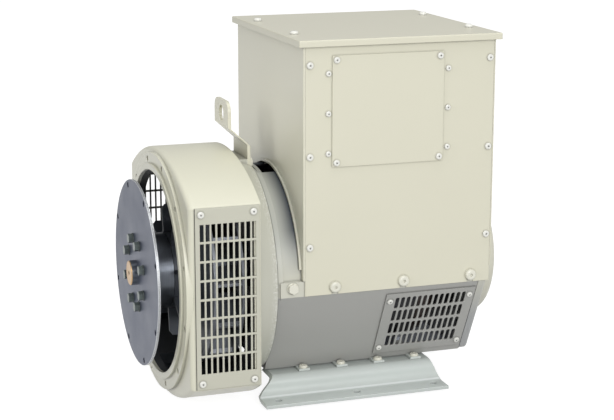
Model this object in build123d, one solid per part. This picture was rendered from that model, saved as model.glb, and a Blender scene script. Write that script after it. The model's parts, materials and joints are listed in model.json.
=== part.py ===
"""Single-bearing brushless alternator head for a generating set.

Frame: the shaft runs along X, from the engine end (-X) to the free end (+X); +Z is up.
The origin is where the shaft axis meets the engine face of the flange. Millimetres.
"""

from build123d import *
import math
import os

os.makedirs("parts", exist_ok=True)

# ---- running and assembly clearances ----
FIT_GAP = 0.1  # between pieces that seat in or on each other
HOLE_GAP = 0.5  # radial room of a screw in its hole
AIR_GAP = 1.5  # between the rotor poles and the stator bore

# ---- engine flange: 3 size housing spigot ----
SPIGOT_R = 204.79
SPIGOT_LENGTH = 5.0
MOUTH_R = 193.0
FLANGE_R = 225.4
FLANGE_STEP = 6.0
FLANGE_PCD = 428.62
FLANGE_HOLES = 12
FLANGE_HOLE_R = 5.5

# ---- drive-end adaptor casting ----
ADAPTOR_HALF_WIDTH = 225.0
ADAPTOR_TOP = 233.0
ADAPTOR_SHOULDER = 169.0
ADAPTOR_DEPTH = 138.0
ADAPTOR_WALL = 9.0
ADAPTOR_FRONT_WALL = 16.0
ADAPTOR_CORNER_R = 4.0
ADAPTOR_EDGE_R = 9.0
COLLAR_FRONT_R = 222.0
COLLAR_R = 205.0
COLLAR_BORE_R = 194.0
COLLAR_END = 177.0

# ---- outlet screens on the adaptor's sides ----
SCREEN_X0 = 16.0
SCREEN_WIDTH = 119.0
SCREEN_HALF_HEIGHT = 167.0
SCREEN_THICK = 2.0
SCREEN_COLUMNS = 10
SCREEN_ROWS = 8
SCREEN_PITCH_X = 10.7
SCREEN_PITCH_Z = 35.0
SCREEN_SLOT_W = 7.4
SCREEN_SLOT_H = 31.0
SCREEN_SCREW_INSET = 11.0

# ---- 11.5 size flexible coupling discs and their hub ----
DISC_R = 176.21
DISC_PCD = 333.38
DISC_HOLES = 8
DISC_HOLE_R = 5.5
DISC_FACE_X = -39.6
DISC_THICK = 1.2
DISC_COUNT = 4
DISC_PHASE = 27.0
HUB_R = 86.0
HUB_NECK_R = 72.0
HUB_BOLT_PCD = 130.0
HUB_BOLTS = 8
HUB_BOLT_PHASE = 27.5
HUB_BOLT_R = 5.0
NOSE_R = 23.5
NOSE_END_X = -53.0

# ---- fan ----
FAN_R = 180.0
FAN_X0 = 18.0
FAN_X1 = 122.0
FAN_BLADES = 13
FAN_BLADE_THICK = 6.0
FAN_BORE_R = 46.0
FAN_HUB_R = 72.0
FAN_RIB_R = 125.0
FAN_RIBS = 8
FAN_RIB_PHASE = -11.0

# ---- stator frame ----
BARREL_R = 192.0
FRAME_WALL = 6.0
RAIL_Y = 203.0
RAIL_TOP = 11.0
RAIL_BOTTOM = -17.0
SLOPE = 28.0  # lean of the lower side walls from the vertical, degrees
FRAME_BOTTOM = -178.0
FRAME_END = 575.0
BAND_R = 200.0
BAND_TOP = 189.0
BAND_END = 188.0
EAR_X0 = 182.0
LEAD_HOLE_HALF = 47.0
LEAD_HOLE_X0 = 196.0
LEAD_HOLE_X1 = 330.0
LIP_HALF = 111.0
LIP_TAB_HALF = 139.0
LIP_TAB_WIDTH = 22.0
LIP_THICK = 4.0
LIP_X0 = 187.0
LIP_X1 = 498.0
CORE_RING_X = (238.0, 442.0)
CORE_RING_THICK = 14.0

# ---- feet ----
SHAFT_HEIGHT = 225.0
FOOT_X0 = 153.0
FOOT_X1 = 517.0
FOOT_TOP_X0 = 186.0
FOOT_TOP_X1 = 502.0
FOOT_THICK = 6.0
FOOT_INNER = 92.0
FOOT_BEND_Y = 138.0
FOOT_OUTER = 208.0
FOOT_HOLE_Y = 183.0
FOOT_HOLE_X = (184.0, 339.5, 495.0)
FOOT_HOLE_R = 7.0
FOOT_BOLT_X = (250.0, 325.5, 401.0, 476.5)
FOOT_BOLT_Y = 130.0
FOOT_BOLT_R = 4.0

# ---- terminal box ----
BOX_X0 = 225.0
BOX_X1 = 599.0
BOX_TOP = 450.7
BOX_SHEET = 2.0
BOX_FLANGE = 26.0
BOX_CORNER = 3.0  # depth of the folded corner that shows beside each side panel
ARCH_GAP = 2.5
ARCH_LIP = 4.5
LID_OVERHANG_X = 10.0
LID_OVERHANG_Y = 7.5
LID_DEPTH = 12.0
LID_SCREW_Y = 112.0
LID_SCREW_INSET = 13.5
PANEL_SCREW_Z = (407.5, 241.7, 74.0)
PANEL_SCREW_INSET = 12.0
SADDLE_BOLT_X = (286.0, 421.0, 557.0)
SADDLE_BOLT_Z = -3.0
SADDLE_BOLT_R = 5.0
RAIL_BOLT_X = 205.0
FLOOR_Z = 205.0

# ---- regulator cover on the box's near side ----
COVER_X0 = 279.0
COVER_X1 = 495.0
COVER_Z0 = 221.0
COVER_Z1 = 423.5
COVER_THICK = 2.0
COVER_SCREW_INSET = 8.0
COVER_WINDOW_INSET = 18.0
TRAY_SCREW_X = (272.0, 504.0)
TRAY_SCREW_Z = (391.5, 319.0, 246.0)

# ---- inlet grilles on the frame's lower sides ----
GRILLE_X0 = 392.0
GRILLE_X1 = 573.0
GRILLE_S0 = 14.0  # distances down the sloping wall from its top edge
GRILLE_S1 = 168.0
GRILLE_THICK = 2.5
GRILLE_COLUMNS = 13
GRILLE_ROWS = 4
GRILLE_PITCH_X = 11.3
GRILLE_PITCH_S = 33.0
GRILLE_SLOT_W = 7.6
GRILLE_SLOT_L = 28.5
GRILLE_FIRST_X = 416.0
GRILLE_FIRST_S = 38.0
GRILLE_SCREW_X = (401.0, 563.0)
GRILLE_SCREW_S = (31.0, 152.0)

# ---- non-drive end ----
BRACKET_THICK = 18.0
SEAM = 1.2
BRACKET_CORNER_R = 16.0
END_COVER_R = 131.0
END_COVER_X1 = 645.0
END_COVER_WALL = 4.0
BALL_PITCH_R = 40.0
RACE_REACH = 15.0  # from the ball circle out to the bearing's outside and in to its bore
BEARING_R = BALL_PITCH_R + RACE_REACH
BEARING_BORE_R = BALL_PITCH_R - RACE_REACH
BEARING_WIDTH = 27.0
BEARING_X0 = 590.0
BALL_R = 9.4
BALLS = 8

# ---- electrical parts ----
CORE_R = 170.0
STATOR_BORE_R = 130.0
STATOR_SLOTS = 36
STATOR_SLOT_W = 8.0
STATOR_SLOT_DEPTH = 22.0
CORE_X0 = 215.0
CORE_X1 = 470.0
OVERHANG_R = 163.0
OVERHANG_ROUND = 9.0
OVERHANG_DE = 37.0
OVERHANG_NDE = 34.0
POLE_R = STATOR_BORE_R - AIR_GAP
ROTOR_END_R = 118.0
ROTOR_END_BORE_R = 62.0
ROTOR_END_ROUND = 8.0
EXCITER_X0 = 522.0
EXCITER_X1 = 556.0
EXCITER_R = 78.0
EXCITER_STATOR_R = 112.0
EXCITER_POLES = 12
RECTIFIER_X = 568.0
TERMINAL_X0 = 345.0
TERMINAL_X1 = 545.0
TERMINAL_Y0 = 40.0
TERMINAL_Y1 = 110.0
TERMINAL_BARRIER = 6.0
TERMINALS = 6
STUD_R = 5.0

# ---- lifting lugs ----
LUG_THICK = 6.0
LUG_HALF_WIDTH = 46.0
LUG_EYE_R = 15.0
LUG_EYE_TO_TOP = 26.0
LUG_REACH = 37.0
LUG_BOLT_Y = 27.0
LUG_BOLT_R = 5.0
DE_LUG_EYE_Z = 296.0
DE_LUG_SEAT_X = 168.0
DE_LUG_FOOT_Z = 188.0
DE_LUG_BENDS = (240.0, 274.0)
DE_LUG_BOLT_Z = 202.5
NDE_LUG_EYE_Z = 262.0
NDE_LUG_FOOT_Z = 146.0
NDE_LUG_BENDS = (176.0, 218.0)
NDE_LUG_BOLT_Z = 162.0
PAD_TOP_Z = 213.0


def around(radius, count, phase=0.0):
    """(y, z) places on a circle about the shaft, the angle from the top towards -Y."""
    for i in range(count):
        a = math.radians(phase + 360.0 * i / count)
        yield -radius * math.sin(a), radius * math.cos(a)


def along_x(sketch, x0, x1):
    """A sketch drawn in (Y, Z) pulled along the shaft from x0 to x1."""
    return extrude(Plane.YZ.offset(x0) * sketch, x1 - x0)


def ring(x0, x1, r_out, r_in=0.0):
    """A round bar or tube about the shaft."""
    sketch = Circle(r_out)
    if r_in:
        sketch -= Circle(r_in)
    return along_x(sketch, x0, x1)


def rod(start, direction, radius, length):
    """A round bar from a point, along a direction."""
    return extrude(Plane(start, z_dir=direction) * Circle(radius), length)


def rods_x(x0, x1, places, radius):
    """Round bars along the shaft at (y, z) places, as one cutting tool."""
    return [Pos(0, y, z) * ring(x0, x1, radius) for y, z in places]


def box_between(x0, x1, y0, y1, z0, z1):
    """A block between two corners."""
    size = Box(x1 - x0, y1 - y0, z1 - z0)
    return Pos((x0 + x1) / 2, (y0 + y1) / 2, (z0 + z1) / 2) * size


def mirrored(shape):
    """The shape on the other side of the shaft."""
    return mirror(shape, about=Plane.XZ)


def hex_screw(seat, direction, radius, across_flats, head, length):
    """A hexagon-head screw: washer face at the seat, shank driven the other way."""
    d = Vector(*direction)
    plane = Plane(seat, z_dir=d)
    washer = extrude(plane * Circle(across_flats * 0.62), head * 0.2)
    hexagon = RegularPolygon(across_flats / 2, 6, major_radius=False)
    cap = extrude(plane.offset(head * 0.2) * hexagon, head)
    shank = extrude(plane * Circle(radius), -length)
    return washer + cap + shank


def pan_screw(seat, direction, radius, head_r, head, length):
    """A pan-head screw with a rounded head and a driving recess."""
    d = Vector(*direction)
    plane = Plane(seat, z_dir=d)
    cap = extrude(plane * Circle(head_r), head)
    cap = fillet(far_rim(cap, plane.offset(head).origin), head * 0.55)
    recess = extrude(plane.offset(head * 0.55) * Circle(head_r * 0.28), head)
    shank = extrude(plane * Circle(radius), -length)
    return cap + shank - recess


def far_rim(cap, point):
    """The edge of a round head that lies about the given point."""
    return min(cap.edges(), key=lambda e: (e.center(CenterOf.BOUNDING_BOX) - point).length)


def save(name, *shapes):
    """Writes one sub-part, of one solid or of several alike."""
    solids = [s for shape in shapes for s in shape.solids()]
    export_step(solids[0] if len(solids) == 1 else Compound(children=solids), f"parts/{name}.step")


# ---- profiles ----
def adaptor_outline(inset=0.0):
    """Barrel-topped, flat-sided outline of the adaptor, drawn in (Y, Z)."""
    w, t, s = ADAPTOR_HALF_WIDTH - inset, ADAPTOR_TOP - inset, ADAPTOR_SHOULDER - inset
    top = ThreePointArc((-w, s), (0, t), (w, s))
    bottom = ThreePointArc((w, -s), (0, -t), (-w, -s))
    face = make_face([top, Line((w, s), (w, -s)), bottom, Line((-w, -s), (-w, s))])
    return fillet(face.vertices(), ADAPTOR_CORNER_R)


def frame_outline(inset=0.0):
    """Round-topped frame with a side rail and lower walls that lean in."""
    lean = math.radians(SLOPE)
    y_rail = RAIL_Y - inset
    drop = RAIL_BOTTOM - FRAME_BOTTOM
    y_low = RAIL_Y - drop * math.tan(lean) - inset * (1 / math.cos(lean) - math.tan(lean))
    r = BARREL_R - inset
    z_top = RAIL_TOP - inset
    y_top = math.sqrt(r * r - z_top * z_top)
    bottom = FRAME_BOTTOM + inset
    side = [(-y_top, z_top), (-y_rail, z_top), (-y_rail, RAIL_BOTTOM), (-y_low, bottom)]
    other = [(-y, z) for y, z in reversed(side)]
    arc = ThreePointArc((y_top, z_top), (0, r), (-y_top, z_top))
    return make_face([arc, Polyline(*side, *other)])


def slope_plane():
    """Plane of the -Y lower wall: local x along the shaft, local y down the slope."""
    lean = math.radians(SLOPE)
    down = Vector(0, math.sin(lean), -math.cos(lean))
    out = Vector(0, -math.cos(lean), -math.sin(lean))
    return Plane(origin=(0, -RAIL_Y, RAIL_BOTTOM), x_dir=(1, 0, 0), z_dir=out), down, out


def on_slope(x, s, lift=0.0):
    """A point on the -Y lower wall: x along the shaft, s down the slope."""
    _, down, out = slope_plane()
    return Vector(x, -RAIL_Y, RAIL_BOTTOM) + down * s + out * lift


def slope_block(x0, x1, s0, s1, lift0, lift1):
    """A block lying on the -Y lower wall, between two heights above it."""
    plane, down, out = slope_plane()
    sign = 1 if plane.y_dir.dot(down) > 0 else -1
    sketch = Pos((x0 + x1) / 2, sign * (s0 + s1) / 2) * Rectangle(x1 - x0, s1 - s0)
    return extrude(plane.offset(lift0) * sketch, lift1 - lift0)


# ---- drive-end adaptor ----
def de_adaptor():
    """Cast housing between the engine and the frame: fan chamber, spigot and rear collar."""
    body = along_x(adaptor_outline(), FLANGE_STEP, ADAPTOR_DEPTH)
    body = fillet(body.faces().sort_by(Axis.X)[0].edges(), ADAPTOR_EDGE_R)
    body += ring(0, FLANGE_STEP + 6, FLANGE_R)
    body += ring(-SPIGOT_LENGTH, 1, SPIGOT_R)
    body += Pos((ADAPTOR_DEPTH - 4 + COLLAR_END) / 2, 0, 0) * Rot(0, 90, 0) * Cone(
        COLLAR_FRONT_R, COLLAR_R, COLLAR_END - ADAPTOR_DEPTH + 4
    )
    body += box_between(ADAPTOR_DEPTH - 4, COLLAR_END, -LUG_HALF_WIDTH, LUG_HALF_WIDTH, 180, PAD_TOP_Z)
    chamber = along_x(adaptor_outline(ADAPTOR_WALL), ADAPTOR_FRONT_WALL, ADAPTOR_DEPTH - ADAPTOR_WALL)
    body -= chamber
    body -= ring(-SPIGOT_LENGTH - 1, ADAPTOR_FRONT_WALL + 1, MOUTH_R)
    body -= ring(ADAPTOR_DEPTH - ADAPTOR_WALL - 1, COLLAR_END + 1, COLLAR_BORE_R)
    w = ADAPTOR_HALF_WIDTH
    window = box_between(SCREEN_X0 + 9, SCREEN_X0 + SCREEN_WIDTH - 9, -w - 20, w + 20,
                         -SCREEN_HALF_HEIGHT + 24, SCREEN_HALF_HEIGHT - 24)
    body -= window
    body -= rods_x(-1, ADAPTOR_FRONT_WALL + 1, around(FLANGE_PCD / 2, FLANGE_HOLES, 15), FLANGE_HOLE_R)
    body -= screen_holes(5.0)
    body -= box_between(DE_LUG_SEAT_X, COLLAR_END + 1, -LUG_HALF_WIDTH - 3, LUG_HALF_WIDTH + 3, 150, 260)
    body -= rods_x(DE_LUG_SEAT_X - 17, DE_LUG_SEAT_X + 1, lug_bolt_places(), LUG_BOLT_R + FIT_GAP)
    body = body + adaptor_ribs()
    return body


def adaptor_ribs():
    """Two stiffening ribs across the chamber's top and bottom, clear of the fan."""
    ribs = []
    for z0, z1 in ((FAN_R + 14, ADAPTOR_TOP - 18), (-ADAPTOR_TOP + 18, -FAN_R - 14)):
        for y in (-90.0, 90.0):
            ribs.append(box_between(ADAPTOR_FRONT_WALL - 1, ADAPTOR_DEPTH - ADAPTOR_WALL + 1, y - 4, y + 4, z0, z1))
    return ribs


def screen_screw_places():
    """(x, z) of the four screws of an outlet screen."""
    i = SCREEN_SCREW_INSET
    for x in (SCREEN_X0 + i, SCREEN_X0 + SCREEN_WIDTH - i):
        for z in (-SCREEN_HALF_HEIGHT + i, SCREEN_HALF_HEIGHT - i):
            yield x, z


def screen_holes(radius):
    """Cutting tool for the screen screws on both sides."""
    w = ADAPTOR_HALF_WIDTH + 30
    return [rod((x, -w, z), (0, 1, 0), 3.0 + FIT_GAP, 50) for x, z in screen_screw_places()] + [
        rod((x, w, z), (0, -1, 0), 3.0 + FIT_GAP, 50) for x, z in screen_screw_places()
    ]


def outlet_screen():
    """Perforated steel screen over the -Y air outlet."""
    w = ADAPTOR_HALF_WIDTH
    x1 = SCREEN_X0 + SCREEN_WIDTH
    plate = box_between(SCREEN_X0, x1, -w - SCREEN_THICK, -w, -SCREEN_HALF_HEIGHT, SCREEN_HALF_HEIGHT)
    slots = Sketch() + [
        place * Rectangle(SCREEN_SLOT_W, SCREEN_SLOT_H)
        for place in GridLocations(SCREEN_PITCH_X, SCREEN_PITCH_Z, SCREEN_COLUMNS, SCREEN_ROWS)
    ]
    face = Plane(origin=(SCREEN_X0 + SCREEN_WIDTH / 2 + 1.5, -w + 1, 0), x_dir=(1, 0, 0), z_dir=(0, -1, 0))
    plate -= extrude(face * slots, SCREEN_THICK + 2)
    plate -= [rod((x, -w - 5, z), (0, 1, 0), 3.0 + HOLE_GAP, 10) for x, z in screen_screw_places()]
    return plate


def screen_screws():
    """Pan-head screws of the -Y outlet screen."""
    y = -ADAPTOR_HALF_WIDTH - SCREEN_THICK
    return [pan_screw((x, y, z), (0, -1, 0), 3.0, 6.2, 4.2, 9) for x, z in screen_screw_places()]


# ---- rotor ----
def hub_bolt_places():
    return list(around(HUB_BOLT_PCD / 2, HUB_BOLTS, HUB_BOLT_PHASE))


def coupling_discs():
    """Thin flexible steel discs, clamped to the hub and bolted to the flywheel by their rims."""
    discs = []
    for i in range(DISC_COUNT):
        x0 = DISC_FACE_X + i * DISC_THICK
        disc = ring(x0, x0 + DISC_THICK, DISC_R, NOSE_R + FIT_GAP)
        disc = chamfer(disc.edges().filter_by(GeomType.CIRCLE).sort_by(SortBy.RADIUS)[-2:], 0.3)
        disc -= rods_x(x0 - 1, x0 + DISC_THICK + 1, around(DISC_PCD / 2, DISC_HOLES, DISC_PHASE), DISC_HOLE_R)
        disc -= rods_x(x0 - 1, x0 + DISC_THICK + 1, hub_bolt_places(), HUB_BOLT_R + HOLE_GAP)
        discs.append(disc)
    return discs


def disc_back():
    return DISC_FACE_X + DISC_COUNT * DISC_THICK


def shaft():
    """Stepped shaft with the coupling flange forged on its drive end."""
    back = disc_back()
    steps = [
        (NOSE_END_X, NOSE_R),
        (back, HUB_R),
        (back + 22, HUB_NECK_R),
        (FAN_X0 - 1, FAN_BORE_R - FIT_GAP),
        (CORE_X0 - 30, 50.0),
        (CORE_X1 + 30, 42.0),
        (EXCITER_X1 + 8, 34.0),
        (BEARING_X0, BEARING_BORE_R),
        (BEARING_X0 + BEARING_WIDTH + 14, None),
    ]
    points = [(NOSE_END_X, 0)]
    for (x, r), (x_next, _) in zip(steps, steps[1:]):
        points += [(x, r), (x_next, r)]
    points.append((steps[-1][0], 0))
    body = revolve(make_face(Polyline(*points, close=True)), Axis.X)
    nose = body.edges().filter_by(GeomType.CIRCLE).sort_by(Axis.X)[0]
    body = chamfer(nose, 1.5)
    body -= rods_x(back - 1, back + 23, hub_bolt_places(), HUB_BOLT_R + FIT_GAP)
    body -= ring(NOSE_END_X - 1, NOSE_END_X + 14, 4.0)
    return body


def coupling_bolts():
    """Hexagon bolts with washers that clamp the discs to the hub."""
    return [
        hex_screw((DISC_FACE_X, y, z), (-1, 0, 0), HUB_BOLT_R, 16.0, 8.0, 22.0) for y, z in hub_bolt_places()
    ]


def fan():
    """Cast centrifugal fan: ribbed hub and dished plate in front, paddle blades, ring behind."""
    hub = [
        (FAN_X0, FAN_BORE_R),
        (FAN_X0, FAN_HUB_R),
        (FAN_X0 + 26, FAN_HUB_R),
        (FAN_X0 + 46, FAN_R),
        (FAN_X0 + 52, FAN_R),
        (FAN_X0 + 34, FAN_HUB_R + 12),
        (FAN_X0 + 60, FAN_HUB_R - 10),
        (FAN_X0 + 60, FAN_BORE_R),
    ]
    body = revolve(make_face(Polyline(*hub, close=True)), Axis.X)
    rib = Polyline(
        (FAN_X0, FAN_HUB_R - 6), (FAN_X0, FAN_RIB_R - 8), (FAN_X0 + 6, FAN_RIB_R),
        (FAN_X0 + 42, FAN_RIB_R), (FAN_X0 + 28, FAN_HUB_R - 6), close=True,
    )
    rib = extrude(Plane.XZ.offset(-FAN_BLADE_THICK / 2) * make_face(rib), FAN_BLADE_THICK)
    for i in range(FAN_RIBS):
        body += Rot(FAN_RIB_PHASE + 360.0 * i / FAN_RIBS, 0, 0) * rib
    blade = box_between(FAN_X0 + 48, FAN_X1, -FAN_BLADE_THICK / 2, FAN_BLADE_THICK / 2, 104.0, FAN_R - 1)
    tilt = Pos(0, 0, 140) * Rot(18, 0, 0) * Pos(0, 0, -140)
    blade = (tilt * blade) & ring(FAN_X0 + 40, FAN_X1, FAN_R - 0.5)
    for i in range(FAN_BLADES):
        body += Rot(360.0 * i / FAN_BLADES, 0, 0) * blade
    body += ring(FAN_X1 - 5, FAN_X1, FAN_R, 142.0)
    return body


def rotor_core():
    """Four-pole salient laminated core."""
    core = ring(CORE_X0, CORE_X1, POLE_R, 50.0 + FIT_GAP)
    for i in range(4):
        slot = along_x(Pos(0, 108) * Rectangle(44, 66), CORE_X0 - 1, CORE_X1 + 1)
        pocket = along_x(Pos(0, 92) * Rectangle(96, 34), CORE_X0 - 1, CORE_X1 + 1)
        core -= Rot(45 + 90 * i, 0, 0) * (slot + pocket)
    return core


def rotor_coils():
    """Field coils wound round the four pole bodies."""
    coils = []
    for i in range(4):
        for side in (-1, 1):
            bar = box_between(CORE_X0, CORE_X1, -12.7, 12.7, 75.2, 108.8)
            bar = Rot(45 + 90 * i, 0, 0) * Pos(0, side * 35.1, 0) * bar
            coils.append(bar)
    return coils


def coil_ends(x0, x1):
    """Bound ring of field-coil end turns."""
    return fillet(ring(x0, x1, ROTOR_END_R, ROTOR_END_BORE_R).edges(), ROTOR_END_ROUND)


# ---- stator ----
def stator_frame():
    """Welded frame: DE ring, round-topped shell, sloping sides with air inlets, base lip."""
    shell = along_x(frame_outline(), EAR_X0, FRAME_END)
    shell += along_x(frame_front(), COLLAR_END, EAR_X0)
    band = Pos(0, (RAIL_TOP + BAND_TOP) / 2) * Rectangle(3 * BAND_R, BAND_TOP - RAIL_TOP)
    shell += along_x(Circle(BAND_R) & band, EAR_X0, BAND_END)
    shell -= along_x(frame_outline(FRAME_WALL), EAR_X0 + 1, FRAME_END + 1)
    shell -= ring(COLLAR_END - 1, EAR_X0 + 2, 178.0)
    for x in CORE_RING_X:
        bulkhead = along_x(frame_outline(FRAME_WALL - 1) - Circle(CORE_R + FIT_GAP), x, x + CORE_RING_THICK)
        shell += bulkhead
    low = FRAME_BOTTOM - LIP_THICK
    shell += box_between(LIP_X0, LIP_X1, -LIP_HALF, LIP_HALF, low, FRAME_BOTTOM)
    half = LIP_TAB_WIDTH / 2
    for x in FOOT_BOLT_X:
        shell += box_between(x - half, x + half, -LIP_TAB_HALF, LIP_TAB_HALF, low, FRAME_BOTTOM)
    window = slope_block(GRILLE_X0 + 17, GRILLE_X1 - 16, GRILLE_S0 + 8, GRILLE_S1 - 12, -20, 20)
    shell -= window
    shell -= mirrored(window)
    shell -= box_between(LEAD_HOLE_X0, LEAD_HOLE_X1, -LEAD_HOLE_HALF, LEAD_HOLE_HALF, 120, 260)
    lug = LUG_HALF_WIDTH + 3
    shell -= box_between(COLLAR_END - 1, BAND_END + 1, -lug, lug, DE_LUG_FOOT_Z - 1, 260)
    shell -= [rod((x, y, FRAME_BOTTOM + 1), (0, 0, -1), FOOT_BOLT_R + HOLE_GAP, 20) for x, y in foot_bolt_places()]
    shell -= grille_screw_holes()
    shell -= [mirrored(hole) for hole in grille_screw_holes()]
    shell -= [rod((x, -RAIL_Y - 5, z), (0, 1, 0), SADDLE_BOLT_R + FIT_GAP, 30) for x, z in saddle_bolt_places()]
    shell -= [rod((x, RAIL_Y + 5, z), (0, -1, 0), SADDLE_BOLT_R + FIT_GAP, 30) for x, z in saddle_bolt_places()]
    return shell


def frame_front():
    """Flat front ring of the frame: round above the rails, following the slopes below."""
    upper = Circle(BAND_R) & (Pos(0, RAIL_BOTTOM + BAND_R) * Rectangle(3 * BAND_R, 2 * BAND_R))
    lower = frame_outline() & (Pos(0, RAIL_TOP - BAND_R) * Rectangle(2 * BAND_R, 2 * BAND_R))
    return upper + lower


def foot_bolt_places():
    for x in FOOT_BOLT_X:
        for y in (-FOOT_BOLT_Y, FOOT_BOLT_Y):
            yield x, y


def saddle_bolt_places():
    """(x, z) of the bolts that hold the box to the frame's side rails."""
    return [(x, SADDLE_BOLT_Z) for x in SADDLE_BOLT_X] + [(RAIL_BOLT_X, 0.0)]


def grille_screw_holes():
    _, _, out = slope_plane()
    return [
        rod(on_slope(x, s, 6), -out, 2.5 + FIT_GAP, 22) for x in GRILLE_SCREW_X for s in GRILLE_SCREW_S
    ]


def foot_profile():
    """Outline of the pressed foot in (Y, Z): its top line and the same line one thickness down."""
    top = FRAME_BOTTOM - LIP_THICK
    low = -SHAFT_HEIGHT + FOOT_THICK
    t = FOOT_THICK
    bend = (top - low) / 2
    y0 = FOOT_BEND_Y
    y1 = y0 + bend
    y2 = y1 + bend
    inner = bend - t
    outer_low = bend + t
    edges = [
        Line((-FOOT_INNER, top), (-y0, top)),
        ThreePointArc((-y0, top), (-y0 - bend * math.sin(math.pi / 4), top - bend * (1 - math.cos(math.pi / 4))),
                      (-y1, top - bend)),
        ThreePointArc((-y1, top - bend), (-y2 + bend * math.cos(math.pi / 4), low + bend * (1 - math.sin(math.pi / 4))),
                      (-y2, low)),
        Line((-y2, low), (-FOOT_OUTER, low)),
        Line((-FOOT_OUTER, low), (-FOOT_OUTER, low - t)),
        Line((-FOOT_OUTER, low - t), (-y2, low - t)),
        ThreePointArc((-y2, low - t),
                      (-y2 + outer_low * math.cos(math.pi / 4), low + bend - outer_low * math.sin(math.pi / 4)),
                      (-y1 + t, low + bend)),
        ThreePointArc((-y1 + t, top - bend),
                      (-y0 - inner * math.sin(math.pi / 4), top - bend + inner * math.cos(math.pi / 4)),
                      (-y0, top - t)),
        Line((-y0, top - t), (-FOOT_INNER, top - t)),
        Line((-FOOT_INNER, top - t), (-FOOT_INNER, top)),
    ]
    return make_face(edges)


def foot_left():
    """The -Y foot, its ends cut on a slant so that the bottom flange is the longer."""
    body = along_x(foot_profile(), FOOT_X0, FOOT_X1)
    top = FRAME_BOTTOM - LIP_THICK
    low = -SHAFT_HEIGHT + FOOT_THICK
    for x_low, x_top, way in ((FOOT_X0, FOOT_TOP_X0, -1), (FOOT_X1, FOOT_TOP_X1, 1)):
        corner = Polyline(
            (x_low, low + 2), (x_top, top + 1), (x_low + way * 40, top + 1), (x_low + way * 40, low + 2), close=True
        )
        body -= extrude(Plane.XZ.offset(60) * make_face(corner), 200)
    body -= [
        rod((x, -FOOT_HOLE_Y, -SHAFT_HEIGHT - 1), (0, 0, 1), FOOT_HOLE_R, FOOT_THICK + 2) for x in FOOT_HOLE_X
    ]
    body -= [rod((x, -FOOT_BOLT_Y, top + 1), (0, 0, -1), FOOT_BOLT_R + HOLE_GAP, 20) for x in FOOT_BOLT_X]
    return body


def foot_bolts():
    """Domed bolts and nuts of the -Y foot."""
    pieces = []
    for x in FOOT_BOLT_X:
        seat = (x, -FOOT_BOLT_Y, FRAME_BOTTOM)
        pieces.append(pan_screw(seat, (0, 0, 1), FOOT_BOLT_R, 8.2, 5.0, LIP_THICK + FOOT_THICK + 8))
        under = Plane((x, -FOOT_BOLT_Y, FRAME_BOTTOM - LIP_THICK - FOOT_THICK), x_dir=(0, 1, 0), z_dir=(0, 0, -1))
        nut = extrude(under * (RegularPolygon(6.5, 6, major_radius=False) - Circle(FOOT_BOLT_R + FIT_GAP)), 6.0)
        pieces.append(nut)
    return pieces


def stator_core():
    """Laminated stator core with axial winding slots."""
    core = ring(CORE_X0, CORE_X1, CORE_R, STATOR_BORE_R)
    slot = along_x(
        Pos(0, STATOR_BORE_R + STATOR_SLOT_DEPTH / 2 + 2) * Rectangle(STATOR_SLOT_W, STATOR_SLOT_DEPTH),
        CORE_X0 - 1,
        CORE_X1 + 1,
    )
    core -= [Rot(360.0 * (i + 0.5) / STATOR_SLOTS, 0, 0) * slot for i in range(STATOR_SLOTS)]
    return core


def winding_overhang(x0, x1):
    """Varnished end turns of the stator winding."""
    return fillet(ring(x0, x1, OVERHANG_R, STATOR_BORE_R + 3).edges(), OVERHANG_ROUND)


def exciter_stator():
    """Exciter field yoke on four feet that stand on the end bracket, with its pole coils."""
    yoke = ring(EXCITER_X0, EXCITER_X1, EXCITER_STATOR_R, EXCITER_STATOR_R - 12)
    for i in range(4):
        foot_block = box_between(EXCITER_X0 + 8, FRAME_END, -10, 10, EXCITER_STATOR_R - 8, EXCITER_STATOR_R + 14)
        yoke += Rot(45 + 90 * i, 0, 0) * foot_block
    for i in range(EXCITER_POLES):
        pole = box_between(EXCITER_X0, EXCITER_X1, -8, 8, EXCITER_R + 1, EXCITER_STATOR_R - 10)
        yoke += Rot(360.0 * i / EXCITER_POLES, 0, 0) * pole
    return yoke - ring(EXCITER_X0 - 1, EXCITER_X1 + 1, EXCITER_R + AIR_GAP)


def exciter_coils():
    """Field coil round each exciter pole."""
    r0, r1 = EXCITER_R + AIR_GAP + 3, EXCITER_STATOR_R - 13.5
    coil = box_between(EXCITER_X0 - 6, EXCITER_X1 + 6, -14, 14, r0, r1)
    coil -= box_between(EXCITER_X0 - FIT_GAP, EXCITER_X1 + FIT_GAP, -8 - FIT_GAP, 8 + FIT_GAP, r0 - 1, r1 + 1)
    return [Rot(360.0 * i / EXCITER_POLES, 0, 0) * coil for i in range(EXCITER_POLES)]


def rectifier_plates():
    """Two half-round heat sinks of the rotating rectifier."""
    plate = ring(RECTIFIER_X, RECTIFIER_X + 6, 72.0, 34.0 + FIT_GAP)
    return plate - box_between(RECTIFIER_X - 1, RECTIFIER_X + 7, -2, 2, -80, 80)


def diodes():
    """Stud diodes on the heat sinks."""
    return [
        extrude(Plane((RECTIFIER_X, y, z), z_dir=(-1, 0, 0)) * RegularPolygon(7.0, 6, major_radius=False), 6)
        + rod((RECTIFIER_X - 5, y, z), (-1, 0, 0), 5.5, 3)
        for y, z in around(56.0, 6, 30)
    ]


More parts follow.
